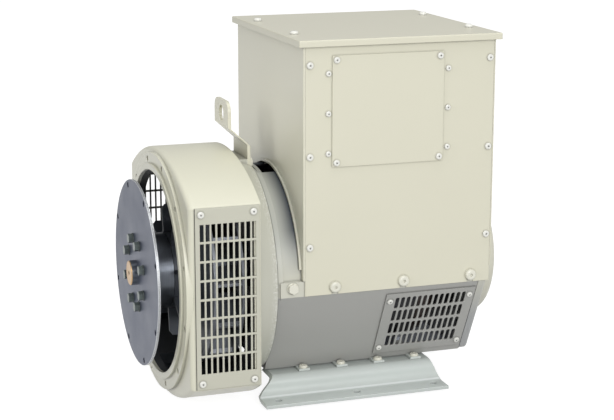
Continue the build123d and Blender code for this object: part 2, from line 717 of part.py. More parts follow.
# ---- non-drive end ----
def nde_bracket():
    """Cast end bracket with the frame's outline, a bearing housing and three arms."""
    outline = frame_outline()
    outline = fillet(outline.vertices().sort_by(Axis.Y)[:2], BRACKET_CORNER_R)
    x1 = FRAME_END + BRACKET_THICK
    body = along_x(outline, FRAME_END + SEAM, x1)
    back = body.faces().sort_by(Axis.X)[-1]
    body = fillet(back.outer_wire().edges(), 5.0)
    body += along_x(frame_outline(SEAM), FRAME_END, FRAME_END + SEAM + 1)
    body += ring(FRAME_END + 4, x1 + 18, END_COVER_R - END_COVER_WALL - FIT_GAP, END_COVER_R - 16)
    body -= ring(FRAME_END - 1, x1 + 19, END_COVER_R - 16)
    body -= [rod((x, y, z), d, 2.5 + HOLE_GAP, 20) for x, y, z, d in end_cover_screw_places()]
    body += ring(FRAME_END + 6, BEARING_X0 + BEARING_WIDTH + 4, BEARING_R + 14, BEARING_R + FIT_GAP)
    body += ring(FRAME_END + 6, BEARING_X0, BEARING_R + 14, BEARING_R - RACE_REACH)
    for i in range(3):
        arm = box_between(FRAME_END + 6, x1, -14, 14, BEARING_R + 8, END_COVER_R - 10)
        body += Rot(60 + 120 * i, 0, 0) * arm
    body -= rods_x(FRAME_END + 4, x1 + 1, nde_lug_bolt_places(), LUG_BOLT_R + FIT_GAP)
    return body


def end_cover():
    """Drum-shaped cover over the bearing and the free end of the shaft."""
    x0 = FRAME_END + BRACKET_THICK
    body = ring(x0, END_COVER_X1, END_COVER_R)
    body = fillet(body.faces().sort_by(Axis.X)[-1].edges(), 9.0)
    body -= ring(x0 - 1, END_COVER_X1 - END_COVER_WALL, END_COVER_R - END_COVER_WALL)
    body -= [rod((x, y, z), d, 2.5 + HOLE_GAP, 20) for x, y, z, d in end_cover_screw_places()]
    return body


def end_cover_screw_places():
    """Start points and inward directions of the radial screws through the cover's rim."""
    for y, z in around(1.0, 4, 45):
        r = END_COVER_R + 6
        yield FRAME_END + BRACKET_THICK + 10, y * r, z * r, (0, -y, -z)


def end_cover_seats():
    """Seats of those screws on the rim and their outward directions."""
    for y, z in around(1.0, 4, 45):
        r = END_COVER_R + 0.05
        yield FRAME_END + BRACKET_THICK + 10, y * r, z * r, (0, y, z)


def bearing_race(r_out, r_in):
    """One race of the ball bearing with its ball track."""
    race = ring(BEARING_X0, BEARING_X0 + BEARING_WIDTH, r_out, r_in)
    return race - revolve(Pos(BEARING_X0 + BEARING_WIDTH / 2, BALL_PITCH_R) * Circle(BALL_R + FIT_GAP), Axis.X)


def ball_places():
    return around(BALL_PITCH_R, BALLS)


def bearing_balls():
    return [Pos(BEARING_X0 + BEARING_WIDTH / 2, y, z) * Sphere(BALL_R) for y, z in ball_places()]


def bearing_cage():
    """Ring that spaces the balls, riveted through each pocket."""
    middle = BEARING_X0 + BEARING_WIDTH / 2
    cage = ring(middle - 11, middle + 11, BALL_PITCH_R + 2.2, BALL_PITCH_R - 2.2)
    return cage - [Pos(middle, y, z) * Sphere(BALL_R + FIT_GAP) for y, z in ball_places()]


# ---- lifting lugs ----
def lug_bolt_places():
    return [(-LUG_BOLT_Y, DE_LUG_BOLT_Z), (LUG_BOLT_Y, DE_LUG_BOLT_Z)]


def nde_lug_bolt_places():
    return [(-LUG_BOLT_Y, NDE_LUG_BOLT_Z), (LUG_BOLT_Y, NDE_LUG_BOLT_Z)]


def lifting_lug(x, way, foot_z, bend_low, bend_high, eye_z, bolts):
    """Cranked steel lug: foot bolted on a face at x, eye set out the other way along the shaft."""
    t = LUG_THICK
    w = LUG_HALF_WIDTH
    top = eye_z + LUG_EYE_TO_TOP
    reach = x + way * LUG_REACH
    side = Polyline(
        (x, foot_z), (x, bend_low), (reach, bend_high), (reach, top), (reach + t, top),
        (reach + t, bend_high + way * t * 0.4), (x + t, bend_low + way * t * 0.4), (x + t, foot_z), close=True,
    )
    body = extrude(Plane.XZ.offset(-w) * make_face(side), 2 * w)
    body = fillet(body.edges().filter_by(Axis.X).sort_by(Axis.Z)[-2:], 20.0)
    body -= rods_x(reach - 5, reach + t + 5, [(0, eye_z)], LUG_EYE_R)
    return body - rods_x(x - 5, x + t + 5, bolts, LUG_BOLT_R + HOLE_GAP)


def hex_bolts_x(x, way, places, radius, across_flats, head, length):
    return [hex_screw((x, y, z), (way, 0, 0), radius, across_flats, head, length) for y, z in places]


# ---- terminal box ----
def panel_screw_places():
    for x in (BOX_X0 + PANEL_SCREW_INSET, BOX_X1 - PANEL_SCREW_INSET):
        for z in PANEL_SCREW_Z:
            yield x, z


def side_panel():
    """The -Y side sheet of the terminal box, without the regulator window."""
    y = RAIL_Y
    c = BOX_CORNER + 0.4
    sheet = box_between(BOX_X0 + c, BOX_X1 - c, -y - BOX_SHEET, -y, RAIL_BOTTOM, BOX_TOP)
    sheet -= [rod((x, -y - 5, z), (0, 1, 0), 3.0 + HOLE_GAP, 10) for x, z in panel_screw_places()]
    for x in SADDLE_BOLT_X:
        slot = rod((x, -y - 5, SADDLE_BOLT_Z + 2), (0, 1, 0), SADDLE_BOLT_R + 1.5, 10)
        notch = box_between(x - SADDLE_BOLT_R - 1.5, x + SADDLE_BOLT_R + 1.5, -y - 5, -y + 5, RAIL_BOTTOM - 1,
                            SADDLE_BOLT_Z + 2)
        sheet -= slot + notch
    return sheet


def side_panel_near():
    """The -Y sheet with the regulator window and its tray screws."""
    i = COVER_WINDOW_INSET
    sheet = side_panel()
    sheet -= box_between(COVER_X0 + i, COVER_X1 - i, -RAIL_Y - 5, -RAIL_Y + 5, COVER_Z0 + i, COVER_Z1 - i)
    sheet -= [rod((x, -RAIL_Y - 5, z), (0, 1, 0), 2.5 + HOLE_GAP, 10) for x, z in cover_screw_places()]
    sheet -= [rod((x, -RAIL_Y - 5, z), (0, 1, 0), 2.5 + HOLE_GAP, 10) for x, z in tray_screw_places()]
    return sheet


def cover_screw_places():
    i = COVER_SCREW_INSET
    for x in (COVER_X0 + i, COVER_X1 - i):
        for z in (COVER_Z0 + i, COVER_Z1 - i):
            yield x, z


def tray_screw_places():
    for x in TRAY_SCREW_X:
        for z in TRAY_SCREW_Z:
            yield x, z


def end_panel(x0, way, arch_r, base_z):
    """Folded end sheet of the box with side and top flanges, arched over the barrel."""
    t = BOX_SHEET
    y = RAIL_Y - FIT_GAP
    x1 = x0 + way * BOX_CORNER
    lo, hi = min(x0, x1), max(x0, x1)
    sheet = box_between(lo, hi, -RAIL_Y - t, RAIL_Y + t, base_z, BOX_TOP)
    outer = sheet.edges().filter_by(Axis.Z).sort_by(Axis.X, reverse=way < 0)[:2]
    sheet = fillet(outer, 1.8)
    f = x0 + way * BOX_FLANGE
    flo, fhi = min(x0, f), max(x0, f)
    for side in (-1, 1):
        edge = sorted((side * y, side * (y - t)))
        sheet += box_between(flo, fhi, edge[0], edge[1], max(base_z, RAIL_TOP + 1), BOX_TOP)
    sheet += box_between(flo, fhi, -y, y, BOX_TOP - t, BOX_TOP)
    front = x0 - way * ARCH_LIP
    rim = ring(min(x0, front), max(x0, front), arch_r + ARCH_LIP)
    sheet += rim & box_between(x0 - 10, x0 + 10, -RAIL_Y, RAIL_Y, base_z + 20, BOX_TOP)
    sheet -= ring(lo - 60, hi + 60, arch_r)
    sheet -= [rod((x, -y - 5, z), (0, 1, 0), 3.0 + FIT_GAP, 12) for x, z in panel_screw_places()]
    sheet -= [rod((x, y + 5, z), (0, -1, 0), 3.0 + FIT_GAP, 12) for x, z in panel_screw_places()]
    sheet -= [rod((x, s, BOX_TOP - 10), (0, 0, 1), 3.0 + FIT_GAP, 20) for x, s in lid_screw_places()]
    return sheet


def lid_screw_places():
    for x in (BOX_X0 + LID_SCREW_INSET, BOX_X1 - LID_SCREW_INSET):
        for y in (-LID_SCREW_Y, LID_SCREW_Y):
            yield x, y


def box_lid():
    """Tray-shaped lid with turned-down, rounded edges."""
    o = LID_OVERHANG_X
    y = RAIL_Y + BOX_SHEET + LID_OVERHANG_Y
    top = BOX_TOP + BOX_SHEET
    body = box_between(BOX_X0 - o, BOX_X1 + o, -y, y, top - LID_DEPTH, top)
    body = fillet(body.edges().filter_by(Axis.Z), 3.0)
    body = fillet(body.faces().sort_by(Axis.Z)[-1].edges(), 2.4)
    t = BOX_SHEET
    body -= box_between(BOX_X0 - o + t, BOX_X1 + o - t, -y + t, y - t, top - LID_DEPTH - 1, BOX_TOP)
    body -= [rod((x, s, BOX_TOP - 10), (0, 0, 1), 3.0 + HOLE_GAP, 20) for x, s in lid_screw_places()]
    return body


def box_floor():
    """Floor sheet over the barrel that carries the terminal block, open for the leads."""
    y = RAIL_Y - BOX_SHEET - 2 * FIT_GAP
    x0, x1 = BOX_X0 + BOX_CORNER + FIT_GAP, BOX_X1 - BOX_CORNER - FIT_GAP
    sheet = box_between(x0, x1, -y, y, FLOOR_Z, FLOOR_Z + BOX_SHEET)
    sheet -= box_between(LEAD_HOLE_X0, LEAD_HOLE_X1 - 20, -LEAD_HOLE_HALF + 8, LEAD_HOLE_HALF - 8, 150, 260)
    legs = []
    for x in (300.0, 520.0):
        legs.append(box_between(x, x + 20, -20, 20, BARREL_R - 4, FLOOR_Z) - ring(x - 1, x + 21, BARREL_R + FIT_GAP))
    return sheet + [legs[1]]


def terminal_block():
    """Moulded block with barriers between the six studs."""
    z = FLOOR_Z + BOX_SHEET
    block = box_between(TERMINAL_X0, TERMINAL_X1, TERMINAL_Y0, TERMINAL_Y1, z, z + 26)
    for i in range(TERMINALS + 1):
        x = TERMINAL_X0 + i * terminal_pitch()
        block += box_between(x, x + TERMINAL_BARRIER, TERMINAL_Y0, TERMINAL_Y1, z + 20, z + 44)
    block -= [rod((x, y, z - 1), (0, 0, 1), STUD_R + FIT_GAP, 60) for x, y in stud_places()]
    return block


def terminal_pitch():
    return (TERMINAL_X1 - TERMINAL_X0 - TERMINAL_BARRIER) / TERMINALS


def stud_places():
    first = TERMINAL_X0 + (TERMINAL_BARRIER + terminal_pitch()) / 2
    return [(first + i * terminal_pitch(), (TERMINAL_Y0 + TERMINAL_Y1) / 2) for i in range(TERMINALS)]


def terminal_studs():
    """Brass studs with nuts on the block."""
    z = FLOOR_Z + BOX_SHEET
    studs = []
    for x, y in stud_places():
        stud = rod((x, y, z + 2), (0, 0, 1), STUD_R, 58)
        nut = extrude(Plane((x, y, z + 26), z_dir=(0, 0, 1)) * RegularPolygon(STUD_R + 3.5, 6, major_radius=False), 8)
        studs.append(stud + nut)
    return studs


def regulator_tray():
    """Sheet tray behind the window that carries the regulator."""
    y = -RAIL_Y
    t = BOX_SHEET
    x0, x1 = TRAY_SCREW_X[0] - 9, TRAY_SCREW_X[1] + 9
    z0, z1 = TRAY_SCREW_Z[-1] - 12, TRAY_SCREW_Z[0] + 12
    depth = 60.0
    i = COVER_WINDOW_INSET
    flange = box_between(x0, x1, y + FIT_GAP, y + FIT_GAP + t, z0, z1)
    flange -= box_between(COVER_X0 + i, COVER_X1 - i, y - 5, y + 10, z0 - 5, z1 + 5)
    back = box_between(COVER_X0 + i - t, COVER_X1 - i + t, y + depth - t, y + depth, z0, z1)
    walls = [
        box_between(COVER_X0 + i - t, COVER_X0 + i, y + FIT_GAP, y + depth, z0, z1),
        box_between(COVER_X1 - i, COVER_X1 - i + t, y + FIT_GAP, y + depth, z0, z1),
    ]
    tray = flange + back + walls
    return tray - [rod((x, y - 5, z), (0, 1, 0), 2.5 + FIT_GAP, 12) for x, z in tray_screw_places()]


def regulator():
    """Potted voltage regulator with its terminal strip."""
    y = -RAIL_Y + 60 - BOX_SHEET
    body = box_between(312, 462, y - 30, y, 252, 387)
    body = fillet(body.faces().sort_by(Axis.Y)[0].edges(), 4.0)
    strip = [box_between(320 + i * 14, 331 + i * 14, y - 42, y - 29, 262, 276) for i in range(10)]
    return body + strip


def near_cover():
    """Cover plate over the regulator window."""
    y = -RAIL_Y - BOX_SHEET
    plate = box_between(COVER_X0, COVER_X1, y - COVER_THICK, y, COVER_Z0, COVER_Z1)
    plate = fillet(plate.edges().filter_by(Axis.Y), 2.0)
    return plate - [rod((x, y - 8, z), (0, 1, 0), 2.5 + HOLE_GAP, 12) for x, z in cover_screw_places()]


def side_screws(places, y, radius, head_r, head, length):
    """Pan-head screws in the -Y side, seated at y."""
    return [pan_screw((x, y, z), (0, -1, 0), radius, head_r, head, length) for x, z in places]


def saddle_bolts():
    """Domed bolts through the panel's slots into the side rail, and the bare rail bolt."""
    y = -RAIL_Y - BOX_SHEET
    bolts = [
        pan_screw((x, y, SADDLE_BOLT_Z), (0, -1, 0), SADDLE_BOLT_R, 10.5, 7.0, 14) for x in SADDLE_BOLT_X
    ]
    bolts.append(hex_screw((RAIL_BOLT_X, -RAIL_Y, 0.0), (0, -1, 0), SADDLE_BOLT_R, 17.0, 7.0, 14))
    return bolts


# ---- inlet grilles ----
def inlet_grille():
    """Slotted plate on the -Y sloping wall."""
    plate = slope_block(GRILLE_X0, GRILLE_X1, GRILLE_S0, GRILLE_S1, 0, GRILLE_THICK)
    plane, down, out = slope_plane()
    sign = 1 if plane.y_dir.dot(down) > 0 else -1
    slots = []
    for i in range(GRILLE_COLUMNS):
        for j in range(GRILLE_ROWS):
            x = GRILLE_FIRST_X + i * GRILLE_PITCH_X
            s = GRILLE_FIRST_S + j * GRILLE_PITCH_S
            slots.append(Pos(x, sign * s) * Rot(0, 0, 90) * SlotOverall(GRILLE_SLOT_L, GRILLE_SLOT_W))
    plate -= [extrude(plane.offset(-1) * s, GRILLE_THICK + 2) for s in slots]
    plate -= [rod(on_slope(x, s, 5), -out, 2.5 + HOLE_GAP, 10) for x in GRILLE_SCREW_X for s in GRILLE_SCREW_S]
    return plate


def grille_screws():
    _, _, out = slope_plane()
    return [
        pan_screw(on_slope(x, s, GRILLE_THICK), tuple(out), 2.5, 5.6, 4.0, 8)
        for x in GRILLE_SCREW_X
        for s in GRILLE_SCREW_S
    ]


def both(name, shapes):
    """Writes a -Y group and its +Y twin as two nodes."""
    shapes = shapes if isinstance(shapes, list) else [shapes]
    save(name + "_left", *shapes)
    save(name + "_right", *[mirrored(s) for s in shapes])


def build():
    save("de_adaptor", de_adaptor())
    both("outlet_screen", outlet_screen())
    both("outlet_screen_screws", screen_screws())
    save("coupling_discs", *coupling_discs())
    save("shaft", shaft())
    save("coupling_bolts", *coupling_bolts())
    save("fan", fan())
    save("rotor_core", rotor_core())
    save("rotor_coils", *rotor_coils())
    save("rotor_end_turns", coil_ends(CORE_X0 - 26, CORE_X0), coil_ends(CORE_X1, CORE_X1 + 26))
    save("stator_frame", stator_frame())
    both("foot", foot_left())
    both("foot_bolts", foot_bolts())
    save("stator_core", stator_core())
    save("stator_winding_de", winding_overhang(CORE_X0 - OVERHANG_DE, CORE_X0))
    save("stator_winding_nde", winding_overhang(CORE_X1, CORE_X1 + OVERHANG_NDE))
    save("nde_bracket", nde_bracket())
    save("nde_end_cover", end_cover())
    save("nde_end_cover_screws", *[pan_screw((x, y, z), d, 2.5, 5.6, 3.5, 8) for x, y, z, d in end_cover_seats()])
    save("bearing_outer_ring", bearing_race(BEARING_R, BALL_PITCH_R + 5.5))
    save("bearing_inner_ring", bearing_race(BALL_PITCH_R - 5.5, BEARING_BORE_R + FIT_GAP))
    save("bearing_balls", *bearing_balls())
    save("bearing_cage", bearing_cage())
    save("exciter_stator", exciter_stator())
    save("exciter_coils", *exciter_coils())
    save("rectifier_plates", rectifier_plates())
    save("diodes", *diodes())
    save("exciter_rotor", ring(EXCITER_X0, EXCITER_X1, EXCITER_R, 42.0 + FIT_GAP))
    save("lifting_lug_de",
         lifting_lug(DE_LUG_SEAT_X, -1, DE_LUG_FOOT_Z, *DE_LUG_BENDS, DE_LUG_EYE_Z, lug_bolt_places()))
    save("lifting_lug_de_bolts", *hex_bolts_x(DE_LUG_SEAT_X + LUG_THICK, 1, lug_bolt_places(), LUG_BOLT_R, 16, 6.5, 20))
    nde_face = FRAME_END + BRACKET_THICK
    save("lifting_lug_nde",
         lifting_lug(nde_face, 1, NDE_LUG_FOOT_Z, *NDE_LUG_BENDS, NDE_LUG_EYE_Z, nde_lug_bolt_places()))
    save("lifting_lug_nde_bolts", *hex_bolts_x(nde_face + LUG_THICK, 1, nde_lug_bolt_places(), LUG_BOLT_R, 16, 6.5, 18))
    save("box_side_panel_left", side_panel_near())
    save("box_side_panel_right", mirrored(side_panel()))
    save("box_end_panel_de", end_panel(BOX_X0, 1, BARREL_R + ARCH_GAP, RAIL_TOP + 1.0))
    save("box_end_panel_nde", end_panel(BOX_X1, -1, BARREL_R + ARCH_GAP, RAIL_TOP + 1.0))
    save("box_lid", box_lid())
    save("box_lid_screws", *[
        pan_screw((x, y, BOX_TOP + BOX_SHEET), (0, 0, 1), 3.0, 7.5, 6.0, 9) for x, y in lid_screw_places()
    ])
    save("box_floor", box_floor())
    save("terminal_block", terminal_block())
    save("terminal_studs", *terminal_studs())
    save("regulator_tray", regulator_tray())
    save("regulator", regulator())
    save("regulator_cover", near_cover())
    save("regulator_cover_screws", *side_screws(cover_screw_places(), -RAIL_Y - BOX_SHEET - COVER_THICK, 2.5, 6.0, 4, 6))
    save("regulator_tray_screws", *side_screws(tray_screw_places(), -RAIL_Y - BOX_SHEET, 2.5, 5.2, 4, 6))
    both("box_panel_screws", side_screws(panel_screw_places(), -RAIL_Y - BOX_SHEET, 3.0, 6.3, 4.2, 7))
    both("saddle_bolts", saddle_bolts())
    both("inlet_grille", inlet_grille())
    both("inlet_grille_screws", grille_screws())


build()
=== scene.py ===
import json
import math
import bpy
from mathutils import Euler, Matrix, Vector


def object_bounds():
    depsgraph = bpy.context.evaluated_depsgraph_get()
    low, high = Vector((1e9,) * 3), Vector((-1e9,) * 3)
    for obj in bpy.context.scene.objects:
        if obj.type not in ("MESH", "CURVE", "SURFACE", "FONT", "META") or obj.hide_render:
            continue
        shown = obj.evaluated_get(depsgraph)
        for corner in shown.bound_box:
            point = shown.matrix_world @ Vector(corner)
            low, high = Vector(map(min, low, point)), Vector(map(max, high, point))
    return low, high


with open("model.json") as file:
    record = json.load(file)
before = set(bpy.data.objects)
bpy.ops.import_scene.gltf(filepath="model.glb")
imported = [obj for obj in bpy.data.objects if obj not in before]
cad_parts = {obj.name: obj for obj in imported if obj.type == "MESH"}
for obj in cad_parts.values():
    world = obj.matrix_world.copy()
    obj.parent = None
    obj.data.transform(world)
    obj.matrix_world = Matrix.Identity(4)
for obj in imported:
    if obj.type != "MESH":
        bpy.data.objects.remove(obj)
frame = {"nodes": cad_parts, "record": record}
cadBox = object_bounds()
nodes = frame["nodes"]
print("frame loaded:", len(nodes), "nodes")

white = (1.0, 1.0, 1.0)
coatRough = 0.25
anyX = {"FromX": -1.0, "ToX": 1.0}  # the whole length of the machine
socketKinds = {"Colour": "NodeSocketColor", "Roughness": "NodeSocketFloat", "Normal": "NodeSocketVector",
               "Mask": "NodeSocketFloat"}


def feed(tree, socket, value):  # a socket is linked, a colour or a number is set
    if isinstance(value, bpy.types.NodeSocket):
        tree.links.new(value, socket)
    elif isinstance(value, tuple):
        socket.default_value = value + (1.0,)
    else:
        socket.default_value = value


def addNode(tree, kind, inputs=(), **settings):
    node = tree.nodes.new("ShaderNode" + kind)
    for label, value in settings.items():
        setattr(node, label, value)
    for label, value in dict(inputs).items():
        feed(tree, node.inputs[label], value)
    return node


def mathNode(tree, operation, a, b=None, clamp=False):
    inputs = {0: a} if b is None else {0: a, 1: b}
    return addNode(tree, "Math", inputs, operation=operation, use_clamp=clamp).outputs[0]


def mixColour(tree, factor, a, b, blend="MIX"):
    inputs = {0: factor, 6: a, 7: b}  # 6 and 7 are the colours of a Mix node
    return addNode(tree, "Mix", inputs, data_type="RGBA", blend_type=blend).outputs[2]


def scaleColour(tree, colour, level):
    return addNode(tree, "VectorMath", {0: colour, "Scale": level}, operation="SCALE").outputs[0]


def mixShader(tree, factor, a, b):
    return addNode(tree, "MixShader", {0: factor, 1: a, 2: b}).outputs[0]


def objectPlace(tree):
    return addNode(tree, "TexCoord").outputs["Object"]


def splitPlace(tree):
    split = addNode(tree, "SeparateXYZ", {0: objectPlace(tree)})
    return [split.outputs[axis] for axis in "XYZ"]


def squared(tree, value):
    return mathNode(tree, "MULTIPLY", value, value)


def shaftRadius(tree, y, z):  # distance from the shaft line, which is the X axis
    return mathNode(tree, "SQRT", mathNode(tree, "ADD", squared(tree, y), squared(tree, z)))


def noiseNode(tree, place, scale, detail):
    return addNode(tree, "TexNoise", {"Vector": place, "Scale": scale, "Detail": detail}).outputs["Fac"]


def swing(tree, noise, amount):  # a noise of 0 to 1, made to swing about zero
    return mathNode(tree, "MULTIPLY", mathNode(tree, "SUBTRACT", noise, 0.5), amount)


studio = {
    "floorSize": 16.0, "floorDrop": 0.0005, "floorWhite": 1.3, "floorLit": 0.95, "floorBounce": 0.42,
    "shadowShare": 0.30, "worldLight": 0.50, "backdrop": 1.0,
    "key": {"place": (0.3, -4.6, 1.7), "size": 2.2, "power": 118.0},
    "side": {"place": (-4.2, -1.0, 1.8), "size": 2.4, "power": 40.0},
    "top": {"place": (0.4, -0.4, 3.6), "size": 2.2, "power": 34.0},
    "target": (0.25, 0.0, 0.05),
}

camera = {
    "place": (-0.70219, -2.94633, 0.81274), "azimuth": -18.8152, "elevation": 12.9746, "roll": 0.0426,
    "lens": 96.49, "sensor": 36.0,
}


def aimLamp(name, spec):
    bpy.ops.object.light_add(type="AREA", location=spec["place"])
    lamp = bpy.context.object
    lamp.name = name
    lamp.data.energy = spec["power"]
    lamp.data.shape = "DISK"
    lamp.data.size = spec["size"]
    aim = Vector(studio["target"]) - Vector(spec["place"])
    lamp.rotation_euler = aim.to_track_quat("-Z", "Y").to_euler()


def makeWorld():  # soft light on the object, and plain white behind it
    world = bpy.data.worlds.new("studioWorld")
    bpy.context.scene.world = world
    world.use_nodes = True
    tree = world.node_tree
    tree.nodes.clear()
    light, backdrop = (addNode(tree, "Background", {"Color": white, "Strength": studio[level]}).outputs[0]
                       for level in ("worldLight", "backdrop"))
    direct = addNode(tree, "LightPath").outputs["Is Camera Ray"]
    addNode(tree, "OutputWorld", {"Surface": mixShader(tree, direct, light, backdrop)})


def seenDirectly(tree):  # 1 for camera, mirror and glass rays, 0 for bounced light
    rays = addNode(tree, "LightPath").outputs
    first = mathNode(tree, "MAXIMUM", rays["Is Camera Ray"], rays["Is Glossy Ray"])
    return mathNode(tree, "MAXIMUM", first, rays["Is Transmission Ray"])


def makePaper():  # white where it is seen, and greyer in the light it throws back
    paper = bpy.data.materials.new("studioPaper")
    paper.use_nodes = True
    tree = paper.node_tree
    tree.nodes.clear()
    looks = (("Emission", "floorWhite"), ("BsdfDiffuse", "floorLit"), ("BsdfDiffuse", "floorBounce"))
    glow, lit, bounce = (addNode(tree, kind, {"Color": (studio[level],) * 3}).outputs[0]
                         for kind, level in looks)
    shown = mixShader(tree, studio["shadowShare"], glow, lit)
    addNode(tree, "OutputMaterial", {"Surface": mixShader(tree, seenDirectly(tree), bounce, shown)})
    return paper


def makeFloor():
    bpy.ops.object.select_all(action="DESELECT")
    height = cadBox[0][2] - studio["floorDrop"]
    bpy.ops.mesh.primitive_plane_add(size=studio["floorSize"], location=(0, 0, height))
    floor = bpy.context.object
    floor.name = "studioFloor"
    bpy.ops.object.transform_apply(location=True, rotation=False, scale=False)
    floor.data.materials.append(makePaper())


def makeCamera():
    bpy.ops.object.camera_add(location=camera["place"])
    cam = bpy.context.object
    a, e, r = (math.radians(camera[k]) for k in ("azimuth", "elevation", "roll"))
    aim = Euler((math.pi / 2 - e, 0, a)).to_matrix() @ Matrix.Rotation(r, 3, "Z")
    cam.rotation_euler = aim.to_euler()
    cam.data.lens = camera["lens"]
    cam.data.sensor_width = camera["sensor"]
    bpy.context.scene.camera = cam
    bpy.context.scene.view_settings.view_transform = "Standard"


def newGroup(name, ins, outs):  # gives back the group, what it is given, and what it puts out
    group = bpy.data.node_groups.new(name, "ShaderNodeTree")
    for label, value in ins.items():
        kind = "NodeSocketColor" if isinstance(value, tuple) else "NodeSocketFloat"
        feed(group, group.interface.new_socket(label, in_out="INPUT", socket_type=kind), value)
    for label in outs:
        group.interface.new_socket(label, in_out="OUTPUT", socket_type=socketKinds[label])
    return group, group.nodes.new("NodeGroupInput").outputs, group.nodes.new("NodeGroupOutput").inputs


film = {
    "cloudScale": 7.0, "cloudDetail": 4.0, "roughShare": 1.6,  # mottle, and how far the gloss follows it
    "arrisSamples": 6, "arrisGain": 4.0, "grainDetail": 3.0, "grainStrength": 1.0,
    "inputs": {"Colour": (0.7, 0.7, 0.6), "Mottle": 0.06, "Rough": 0.4, "GrainScale": 700.0,
               "GrainDepth": 0.00004, "EdgeRound": 0.0012, "EdgeLight": 0.35},
}


def makePaintFilm():  # mottled colour, painted highlights on the arrises, drifting gloss and fine grain
    group, given, out = newGroup("paintFilm", film["inputs"], ("Colour", "Roughness", "Normal"))
    place = objectPlace(group)
    drift = swing(group, noiseNode(group, place, film["cloudScale"], film["cloudDetail"]), given["Mottle"])
    arris = addNode(group, "Bevel", {"Radius": given["EdgeRound"]}, samples=film["arrisSamples"]).outputs[0]
    flat = addNode(group, "NewGeometry").outputs["True Normal"]
    along = addNode(group, "VectorMath", {0: arris, 1: flat}, operation="DOT_PRODUCT").outputs["Value"]
    # painted highlight: lighter where the rounded arris turns away from the flat face
    turned = mathNode(group, "SUBTRACT", 1.0, along, clamp=True)
    arrisHighlight = mathNode(group, "MULTIPLY", turned, film["arrisGain"], clamp=True)
    edge = mathNode(group, "MULTIPLY", arrisHighlight, given["EdgeLight"])
    level = mathNode(group, "ADD", mathNode(group, "ADD", drift, 1.0), edge)
    feed(group, out["Colour"], scaleColour(group, given["Colour"], level))
    glossDrift = mathNode(group, "MULTIPLY", drift, film["roughShare"])
    feed(group, out["Roughness"], mathNode(group, "ADD", given["Rough"], glossDrift, clamp=True))
    grain = noiseNode(group, place, given["GrainScale"], film["grainDetail"])
    bump = {"Strength": film["grainStrength"], "Distance": given["GrainDepth"], "Height": grain,
            "Normal": arris}
    feed(group, out["Normal"], addNode(group, "Bump", bump).outputs[0])
    return group


crevice = {
    "samples": 8,
    "inputs": {"Colour": (0.7, 0.7, 0.6), "Reach": 0.004, "Depth": 0.6, "WideReach": 0.03, "WideDepth": 0.2},
}


def makeCreviceShade():  # darker in seams and recesses, and a little in wide corners
    group, given, out = newGroup("creviceShade", crevice["inputs"], ("Colour",))
    kept = []
    for reach, depth in (("Reach", "Depth"), ("WideReach", "WideDepth")):
        sight = addNode(group, "AmbientOcclusion", {"Distance": given[reach]}, samples=crevice["samples"])
        hidden = mathNode(group, "SUBTRACT", 1.0, sight.outputs["AO"])
        lost = mathNode(group, "MULTIPLY", hidden, given[depth])
        kept.append(mathNode(group, "SUBTRACT", 1.0, lost, clamp=True))
    level = mathNode(group, "MULTIPLY", kept[0], kept[1])
    feed(group, out["Colour"], scaleColour(group, given["Colour"], level))
    return group


ring = {
    "leastFade": 0.0001, "lift": 0.08,  # the height above LowZ over which the fade comes in
    "inputs": {"FromX": 0.0, "ToX": 1.0, "Radius": 0.2, "Fade": 0.02, "LowZ": -1.0, "FadeX": 0.0},
}


def makeRingFade():  # 1 up to a radius about the shaft, falling to 0 outwards, within a span of X
    group, given, out = newGroup("ringFade", ring["inputs"], ("Mask",))
    x, y, z = splitPlace(group)
    beyond = mathNode(group, "SUBTRACT", shaftRadius(group, y, z), given["Radius"])
    near = mathNode(group, "SUBTRACT", 1.0, mathNode(group, "DIVIDE", beyond, given["Fade"]), clamp=True)
    along = mathNode(group, "SUBTRACT", x, given["FromX"])
    fadeLength = mathNode(group, "MAXIMUM", given["FadeX"], ring["leastFade"])
    ramp = mathNode(group, "DIVIDE", along, fadeLength, clamp=True)
    lift = mathNode(group, "DIVIDE", mathNode(group, "SUBTRACT", z, given["LowZ"]), ring["lift"], clamp=True)
    mask = squared(group, near)
    for part in (ramp, mathNode(group, "LESS_THAN", x, given["ToX"]), lift):
        mask = mathNode(group, "MULTIPLY", mask, part)
    feed(group, out["Mask"], mask)
    return group


def makeBelowHeight():  # 1 below a height, 0 above it
    group, given, out = newGroup("belowHeight", {"Height": 0.0, "Blend": 0.001}, ("Mask",))
    under = mathNode(group, "SUBTRACT", given["Height"], splitPlace(group)[2])
    feed(group, out["Mask"], mathNode(group, "DIVIDE", under, given["Blend"], clamp=True))
    return group


speck = {
    "detail": 2.0, "gain": 14.0,  # gain: how sharp the rim of a speck is
    "inputs": {"FromX": 0.0, "ToX": 1.0, "Size": 900.0, "Cut": 0.62},
}


def makeCastSpeck():  # painted glints: white specks where the glossy rough cast skin catches light, clearer along a span of X
    group, given, out = newGroup("castSpeck", speck["inputs"], ("Mask",))
    x = splitPlace(group)[0]
    grain = noiseNode(group, objectPlace(group), given["Size"], speck["detail"])
    over = mathNode(group, "SUBTRACT", grain, given["Cut"])
    spots = mathNode(group, "MULTIPLY", over, speck["gain"], clamp=True)
    along = mathNode(group, "SUBTRACT", x, given["FromX"])
    span = mathNode(group, "SUBTRACT", given["ToX"], given["FromX"])
    ramp = mathNode(group, "DIVIDE", along, span, clamp=True)
    inRange = mathNode(group, "LESS_THAN", x, given["ToX"])
    mask = mathNode(group, "MULTIPLY", mathNode(group, "MULTIPLY", spots, ramp), inRange)
    feed(group, out["Mask"], mask)
    return group


lathe = {
    "ringScale": 420.0, "ringDetail": 2.0, "ringDepth": 0.00003, "ringStrength": 0.5,
    "stainScale": 16.0, "stainDetail": 5.0,
    "inputs": {"Colour": (0.3, 0.3, 0.3), "Rough": 0.35, "Streak": 0.2, "Stain": 0.2},
}


